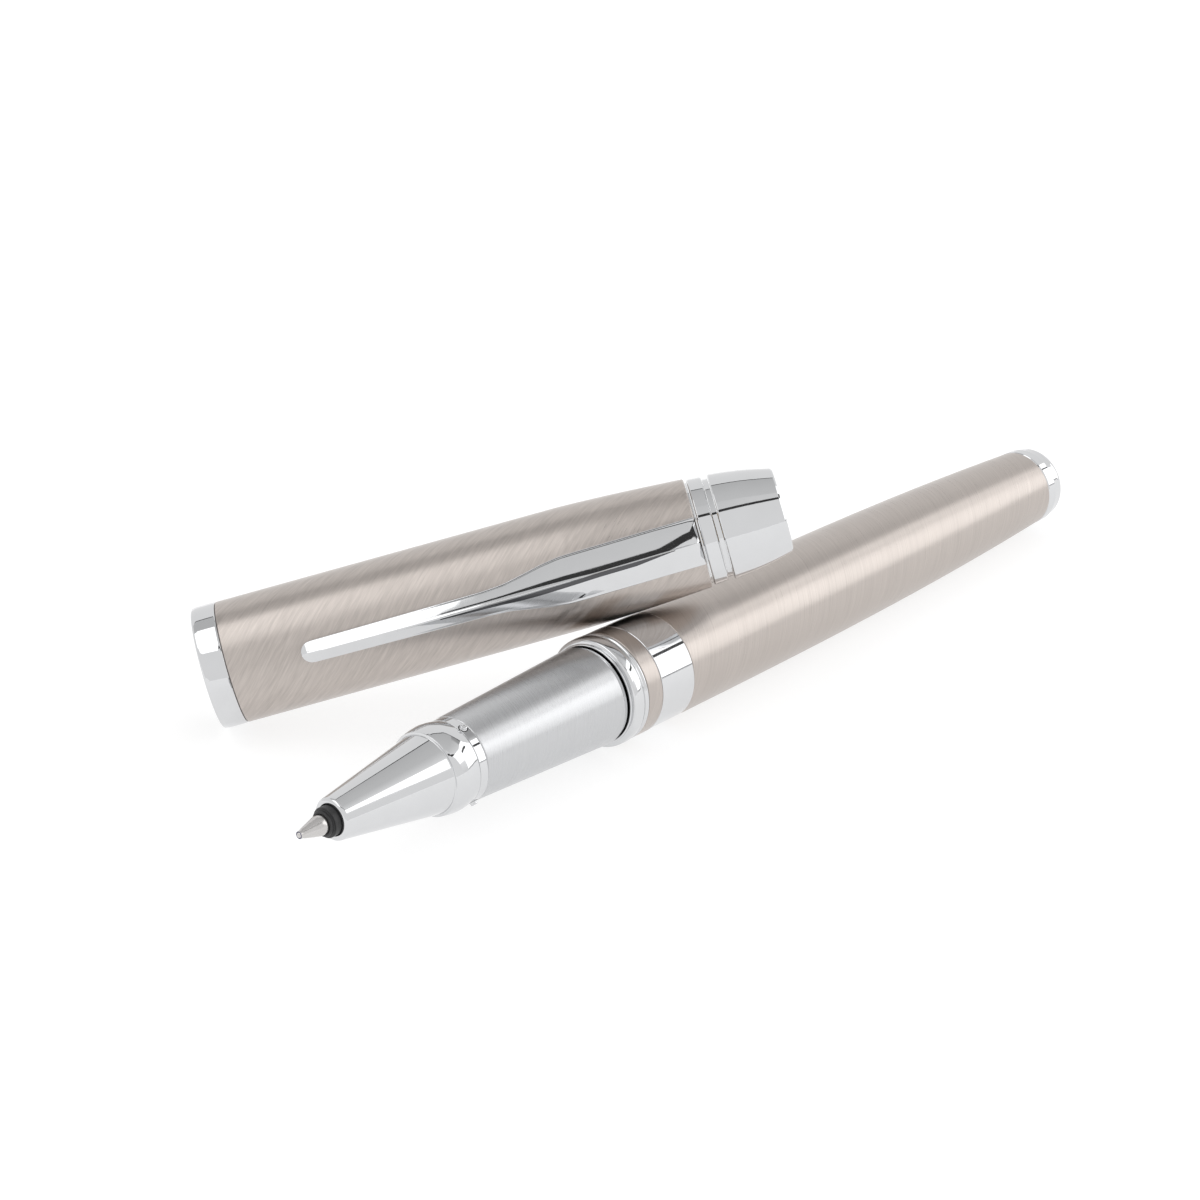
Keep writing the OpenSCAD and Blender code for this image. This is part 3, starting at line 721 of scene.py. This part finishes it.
def snap_ring():
    """A bright ring with small round nubs, each in a dark seat that paints the shade of a moat round it."""
    points = pen.points("snap_ring")
    bottom, top = z_range(points)
    ring_r = max(off_axis(p) for p in points if p.z < bottom + 0.02)
    bore_r = min(off_axis(p) for p in points)
    loop = [(bore_r, bottom), (ring_r, bottom), (ring_r, top), (bore_r, top)]
    ring = lathe("snap_ring_turned", refine(loop, False, 0.06), pen, [chrome])
    stand_for(ring, "snap_ring")

    raised = [p for p in points if off_axis(p) > ring_r + 0.1]
    rise = max(off_axis(p) for p in raised) - ring_r
    nub_r, sides = 0.385, 32
    # radius and height over the ring, from the middle of the dome out over the seat
    dome = [(0, rise), (0.2, rise), (0.29, 0.98 * rise), (0.34, 0.92 * rise), (0.37, 0.82 * rise)]
    dome.append((nub_r, 0.6 * rise))
    # the seat is a dark ring of black plastic that paints the shade of a moat round the nub
    shade_seat = [(nub_r, 0.03), (nub_r + 0.02, 0.012), (nub_r + 0.14, 0.012), (nub_r + 0.17, -0.06)]
    for number, way in enumerate(nub_ways(raised)):
        rings = []
        for reach, lift in dome + shade_seat:
            ring_points = []
            for k in range(sides):
                along, aside = reach * math.cos(math.tau * k / sides), reach * math.sin(math.tau * k / sides)
                radial = math.sqrt(ring_r**2 - aside**2) + lift
                x = radial * math.cos(way) - aside * math.sin(way)
                y = radial * math.sin(way) + aside * math.cos(way)
                ring_points.append((x, y, (bottom + top) / 2 + along))
            rings.append(ring_points)
        made, faces = sweep(rings)
        # the dome and its wall are bright and the seat is dark, painted shade for a moat round the nub, each with
        # its own end
        slots = [int(i // sides >= len(dome) + 1) for i in range(len(faces) - 2)] + [0, 1]
        nub = new_piece(f"snap_nub_{number}", made, faces, pen, [chrome, black], None, slots)
        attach(nub, node_body["snap_ring"])


snap_ring()


def screw_groove(pitch, start, end, depth, run_in=0.4):
    """A cut for lathe(): a V groove that winds round the surfaces between two heights.

    A negative depth cuts inwards. Over the run-in at each end the groove gets shallower.
    """

    def cut(r, z, angle):
        if not start < z < end:
            return r
        # 0 in the middle of the groove, 1 on the crest
        share = math.fabs(math.remainder((z - start) / pitch - angle / math.tau, 1)) * 2
        fade = min(1, (z - start) / run_in, (end - z) / run_in)
        return r + depth * fade * (1 - min(1, share * 1.25))

    return cut


def with_rows(loop, radius, start, end, step=0.06):
    """The loop with extra points along its stretch at that radius, so that a thread can be cut there."""
    out = []
    for a, b in zip(loop, loop[1:] + loop[:1]):
        out.append(a)
        if abs(a[0] - radius) > 0.01 or abs(b[0] - radius) > 0.01 or abs(b[1] - a[1]) < 1:
            continue
        way = 1 if b[1] > a[1] else -1
        low, high = max(min(a[1], b[1]), start), min(max(a[1], b[1]), end)
        count = int((high - low) / step)
        rows = [(radius, low + (high - low) * (i + 0.5) / count) for i in range(count)]
        out += rows[::way]
    return out


def threads():
    """The right-hand thread on the section's neck, and its mate in the brass bush of the barrel."""
    advance = joint("section_advance")["range_m"][1]
    turns = record["behaviour"]["couplings"][0]["ratio"] * advance / math.tau
    pitch = advance / MM / round(turns)
    same, segments = 0.02, 120

    loop, _ = profile_of("section_liner", pen)
    behind_grip = [(r, z) for r, z in loop if z > grip_end + 1]
    thread_r = max(r for r, z in behind_grip)
    crest = [z for r, z in behind_grip if abs(r - thread_r) < 0.01]
    start, end = min(crest), max(crest)
    male = with_rows(refine(loop, False), thread_r, start, end)
    groove = screw_groove(pitch, start - 0.2, end + 0.2, -0.34)

    def outside(r, z, angle):
        return groove(r, z, angle) if r > thread_r - same else r

    neck = lathe("section_neck", male, pen, [black], cut=outside, segments=segments)
    stand_for(neck, "section_liner")

    loop, _ = profile_of("thread_bush", pen)
    bore_r, depth = min(r for r, z in loop), 9
    mouth = min(z for r, z in loop if abs(r - bore_r) < 0.01)
    female = with_rows(refine(loop, False), bore_r, mouth, mouth + depth)
    mate = screw_groove(pitch, mouth, mouth + depth, 0.3)

    def inside(r, z, angle):
        return mate(r, z, angle) if r < bore_r + same else r

    bush = lathe("thread_bush_cut", female, pen, [brass], cut=inside, segments=segments)
    stand_for(bush, "thread_bush")


threads()


def refill_spring():
    """A wire spring with a closed turn at each end."""
    points = pen.points("refill_spring")
    bottom, top = z_range(points)
    wire, turns, per_turn, sides = 0.2, 7, 40, 10  # wire is the wire's radius
    coil = max(off_axis(p) for p in points) - wire
    closed_pitch = 2.15 * wire
    open_rise = top - bottom - 2 * wire - 2 * closed_pitch
    rings = []
    for i in range(turns * per_turn + 1):
        t = i / per_turn
        rise = closed_pitch * min(t, 1) + open_rise * min(max((t - 1) / (turns - 2), 0), 1)
        rise += closed_pitch * max(t - turns + 1, 0)
        a = math.tau * t
        ring = []
        for k in range(sides):
            b = math.tau * k / sides
            r = coil + wire * math.cos(b)
            ring.append((r * math.cos(a), r * math.sin(a), bottom + wire + rise + wire * math.sin(b)))
        rings.append(ring)
    made, faces = sweep(rings)
    spring = new_piece("spring_coil", made, [f[::-1] for f in faces], pen, [spring_wire])
    stand_for(spring, "refill_spring")
    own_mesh(spring)


refill_spring()

# ---------------------------------------------------------------- the cap

turned("lip_ring", cap, chrome, fillet=0.1)
turned("cap_tube", cap, cap_satin)
turned("clip_collar", cap, chrome, fillet=0.1)
turned("groove_ring", cap, chrome, fillet=0.03)
turned("finial", cap, chrome, fillet=0.08)
turned("finial_disc", cap, chrome, fillet=0.08)
turned("inner_cap", cap, black)
turned("tip_seal", cap, rubber)
turned("cap_screw", cap, brass)


def pocket_clip():
    """The clip: a strip folded to a roof, with a raised spine, a dark line of painted shade beside it and a rounded
    tip.
    """
    points = cap.points("clip_blade")
    shape, tube = cap.solid("clip_blade"), cap.solid("cap_tube")
    tip_at, root_at = z_range(points)
    length = root_at - tip_at
    tip_w = max(abs(p.y) for p in points if p.z < tip_at + 0.12 * length)
    wide = max(abs(p.y) for p in points)
    strip, edge_t = 0.5, 0.22  # thickness in the middle and at the edge
    edge, roll, clear = 0.17, 0.7, 0.03  # the round edge's width, the bend's length at the root, the gap to the tube
    spine_h, flank = 0.15, 0.56  # the spine's height and the flanks' slope
    line_from, line_to = tip_at + 0.34 * length, tip_at + 0.93 * length
    merge_at = tip_at + 0.8 * length  # where the spine has run out
    # numbers of stations along the clip, of points on a flank and on half the underside, and of steps round an edge
    along, flank_points, under, corner = 120, 9, 6, 5
    spine_shares, foot_w = (0.3, 0.55, 0.8, 1.0), 0.05
    side_points = len(spine_shares) + 2 + flank_points

    def top_of(z, solid=shape):
        return solid.ray_cast(Vector((20, 0, z)), Vector((-1, 0, 0)))[0].x

    def half_width(z):
        return shape.ray_cast(Vector((top_of(z) - 0.3, 20, z)), Vector((0, -1, 0)))[0].y

    def stations(half, channel, edge_in):
        """Places across the strip, as signed distances from its middle: spine, foot, flank."""

        def one_side(foot):
            side = [share * half for share in spine_shares] + [half + foot, half + foot + foot_w]
            rest = edge_in - half - foot - foot_w
            return side + [side[-1] + rest * k / flank_points for k in range(1, flank_points + 1)]

        return [-y for y in one_side(0.03)[::-1]] + [0.0] + one_side(channel)

    rings, shade_lined = [], []
    for i in range(along + 1):
        t = i / along
        # the first tenth of the stations is closer together, round the tip
        z = tip_at + length * (0.2 * t if t < 0.1 else 0.02 + 0.98 * (t - 0.1) / 0.9)
        z = min(max(z, tip_at + 0.02), root_at - 0.02)
        w = half_width(z)
        top = top_of(z)
        thin = min(edge, 0.8 * w)
        inner = w - thin
        # the strip rolls down into its seat at the root, and its tip is turned down a little
        top -= 0.5 * roll * max(0, (z - root_at + roll) / roll) ** 3
        top -= 0.3 * max(0, 1 - (z - tip_at) / tip_w) ** 2
        narrowing = min(1, max(0.2, (merge_at - z) / 12))
        half = min((0.12 + 0.2 * w / wide) * narrowing, 0.5 * inner)
        rise = spine_h * min(1, 0.35 + (z - tip_at) / 3, (root_at - z) / 1.2) * (0.4 + 0.6 * narrowing)
        cap_r = top_of(min(z, root_at - 0.3), tube)
        room = top - edge_t - math.sqrt(cap_r**2 - w * w) - clear
        slope = max(0.05, min(flank, (room - rise) / w))
        share = max(0, min(1, (z - line_from) / 9, (line_to - z) / 4))
        channel = 0.02 + 0.4 * share * min(1, w / wide + 0.2)

        def crown(y):
            q = abs(y)
            if q <= half:
                return rise * (1 - math.cos(math.pi * q / half)) / 2
            return rise + slope * (q - half) * (0.82 + 0.18 * (q - half) / max(inner - half, 0.01))

        ring = []
        for y in stations(half, channel, inner):
            ring.append((top - crown(y), y, z))
        # a turn round the outer edge, the underside and a turn back
        low = top - crown(inner) - edge_t / 2
        for k in range(1, corner):
            a = math.pi / 2 - math.pi * k / corner
            ring.append((low + edge_t / 2 * math.sin(a), inner + thin * math.cos(a), z))
        for k in range(2 * under + 1):
            y = inner * (1 - k / under)
            ring.append((top - crown(y) - strip + (strip - edge_t) * abs(y) / inner, y, z))
        for k in range(1, corner):
            a = -math.pi / 2 - math.pi * k / corner
            ring.append((low + edge_t / 2 * math.sin(a), -inner + thin * math.cos(a), z))
        rings.append(ring)
        # the rows that carry the painted shade line
        shade_lined.append(share > 0)
    made, faces = sweep(rings)
    # the painted shade line is three faces wide: it starts at the spine's third point and ends at the end of its
    # foot
    first = side_points + 1 + spine_shares.index(0.8)
    slots = [int(shade_lined[i] and first <= k < first + 3) for i in range(along) for k in range(len(rings[0]))]
    clip = new_piece("clip_strip", made, faces, cap, [chrome, painted_shade_plate], None, slots + [0, 0])
    clip.data.set_sharp_from_angle(angle=math.radians(50))
    stand_for(clip, "clip_blade")


pocket_clip()

# ---------------------------------------------------------------- floor, light and camera

low, high = size_before
middle = (low + high) / 2

AZIMUTH, ELEVATION, DISTANCE = math.radians(48.61), math.radians(25.485), 0.43095
forward = Vector(
    (
        math.sin(AZIMUTH) * math.cos(ELEVATION),
        math.cos(AZIMUTH) * math.cos(ELEVATION),
        -math.sin(ELEVATION),
    )
)
aim = middle + Vector((-0.01181, -0.00995, 0.00055))
camera = bpy.data.objects.new("camera", bpy.data.cameras.new("camera"))
camera.data.lens, camera.data.sensor_width = 122.25, 36.0
camera.data.clip_start, camera.data.clip_end = 0.01, 20.0
camera.location = aim - forward * DISTANCE
camera.rotation_mode = "QUATERNION"
camera.rotation_quaternion = forward.to_track_quat("-Z", "Y")
bpy.context.scene.collection.objects.link(camera)
bpy.context.scene.camera = camera


def glow(name, strength):
    """A glowing material for a card of the studio, plain or graded from corner to corner."""
    made = bpy.data.materials.new(name)
    made.use_nodes = True
    tree = made.node_tree
    tree.nodes.remove(tree.nodes["Principled BSDF"])
    light = tree.nodes.new("ShaderNodeEmission")
    if isinstance(strength, tuple):
        graded = tree.nodes.new("ShaderNodeAttribute")
        graded.attribute_name = "glow"
        tree.links.new(graded.outputs["Fac"], light.inputs["Strength"])
    else:
        light.inputs["Strength"].default_value = strength
    tree.links.new(light.outputs[0], tree.nodes["Material Output"].inputs[0])
    return made


# The studio is set out to the right of the camera, ahead of it and up, in metres from the object
ahead = Vector((math.sin(AZIMUTH), math.cos(AZIMUTH), 0))
right = Vector((ahead.y, -ahead.x, 0))
up = Vector((0, 0, 1))


def card(name, corners, strength):
    """A four-cornered card, which lights and reflects but never stands in the camera's way.

    The strength is one number, or one for each corner.
    """
    mesh = bpy.data.meshes.new(name)
    mesh.from_pydata([right * r + ahead * a + up * u for r, a, u in corners], [], [(0, 1, 2, 3)])
    if isinstance(strength, tuple):
        mesh.attributes.new("glow", "FLOAT", "POINT").data.foreach_set("value", strength)
    mesh.materials.append(glow(name, strength))
    made = bpy.data.objects.new(name, mesh)
    made.visible_camera = False
    made.visible_shadow = False
    bpy.context.scene.collection.objects.link(made)


def overhead(name, r0, r1, a0, a1, strength, skew=0.0, height=1.0):
    """A level card; skew moves its right-hand end ahead."""
    corners = [(r0, a0, height), (r1, a0 + skew, height), (r1, a1 + skew, height), (r0, a1, height)]
    card(name, corners, strength)


def upright(name, a0, a1, u0, u1, strength, r=1.0):
    """A card that stands at the right."""
    card(name, [(r, a0, u0), (r, a1, u0), (r, a1, u1), (r, a0, u1)], strength)


# The ceiling gets a little brighter to the front. Its right half is darker at the back and brighter in front
SOFTBOX = 1.9
LEFT, SPLIT, BACK = -0.29, 0.5, 0.70
MIDDLE = BACK - 0.9
overhead("ceiling", LEFT, SPLIT, MIDDLE, BACK, (0.74, 0.74, 0.62, 0.62))
overhead("ceiling_right", SPLIT, 1.0, 0.5, BACK, (0.45, 0.46, 0.43, 0.43))
overhead("ceiling_blend", SPLIT, 1.0, 0.34, 0.5, (0.66, 0.9, 0.46, 0.45))
overhead("ceiling_bright", SPLIT, 1.0, MIDDLE, 0.34, (0.72, 0.97, 0.9, 0.66))
card("ceiling_front", [(LEFT, -0.63, 1), (1, -0.21, 1), (1, MIDDLE, 1), (LEFT, MIDDLE, 1)], (0.78, 0.97, 0.97, 0.74))
overhead("ceiling_back_edge", -0.9, 1.0, BACK, BACK + 0.05, 0.03)
overhead("ceiling_front_edge", LEFT, 1.0, -0.76, -0.63, 0.05, skew=0.42)
overhead("left_softbox", -0.95, LEFT, -0.85, 0.15, SOFTBOX)
overhead("left_grey", -0.95, LEFT, 0.15, BACK, 0.62)
# At the right a softbox stands over a dark sill, with a dark bar in front of it and a dimmer card low in front
FRONT, NEAR, FAR = -0.34, -0.12, 0.75
FOOT, SILL, LEDGE, TOP = 0.035, 0.055, 0.42, 0.98
upright("right_softbox", NEAR, FAR, SILL, TOP, SOFTBOX)
upright("right_softbox_near", FRONT, NEAR, LEDGE, TOP, SOFTBOX)
upright("right_low", FRONT, NEAR, FOOT, LEDGE, (0.9, 0.9, 1.1, 1.1))
upright("right_sill", NEAR, FAR, FOOT, SILL, 0.08)
upright("right_bar", 0.05, 0.5, 0.64, 0.74, 0.1, r=0.99)

HALF = 6.0
UNDER = 0.00002  # how far the floor lies below the object
floor_mesh = bpy.data.meshes.new("floor")
floor_mesh.from_pydata([(-HALF, -HALF, 0), (HALF, -HALF, 0), (HALF, HALF, 0), (-HALF, HALF, 0)], [], [(0, 1, 2, 3)])
floor = bpy.data.objects.new("floor", floor_mesh)
floor.location = (middle.x, middle.y, low.z - UNDER)
bpy.context.scene.collection.objects.link(floor)
paper = Finish("paper", Base_Color=(0.35, 0.35, 0.35, 1), Roughness=0.9, Specular_IOR_Level=0.1)
paper.set(Emission_Color=(1, 1, 1, 1), Emission_Strength=0.74)
floor_mesh.materials.append(paper.material)

world = bpy.data.worlds.new("studio")
world.use_nodes = True
world.node_tree.nodes["Background"].inputs["Color"].default_value = (1, 1, 1, 1)
world.node_tree.nodes["Background"].inputs["Strength"].default_value = 0.95
bpy.context.scene.world = world
bpy.context.scene.view_settings.view_transform = "Standard"
